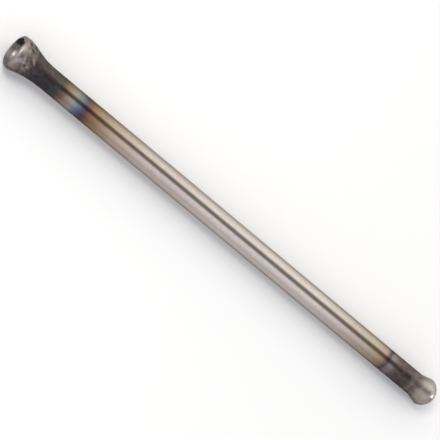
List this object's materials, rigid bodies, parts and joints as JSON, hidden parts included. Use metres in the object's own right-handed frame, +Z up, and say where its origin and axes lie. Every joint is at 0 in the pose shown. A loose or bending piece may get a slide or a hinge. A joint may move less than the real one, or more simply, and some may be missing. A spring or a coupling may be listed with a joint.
{
  "type": "engine pushrod",
  "caption": "Tubular steel pushrod with a flared cup end that holds a spherical socket and a domed ball end, both heat-tinted by hot forming.",
  "frame": {"origin": "on the surface that it lies on, under the middle of its length", "axes": "+X along the rod from the cup end to the ball end, whose axis slopes 0.33 degrees down towards the smaller ball end; +Z up"},
  "size_m": [0.2369, 0.015, 0.015],
  "materials": {
    "formed_steel": "bright drawn tube, temper colours towards both ends, dark forging scale on the cup's flare and the ball end's neck"
  },
  "bodies": {
    "root": {"pushrod": "formed_steel"}
  },
  "joints": []
}
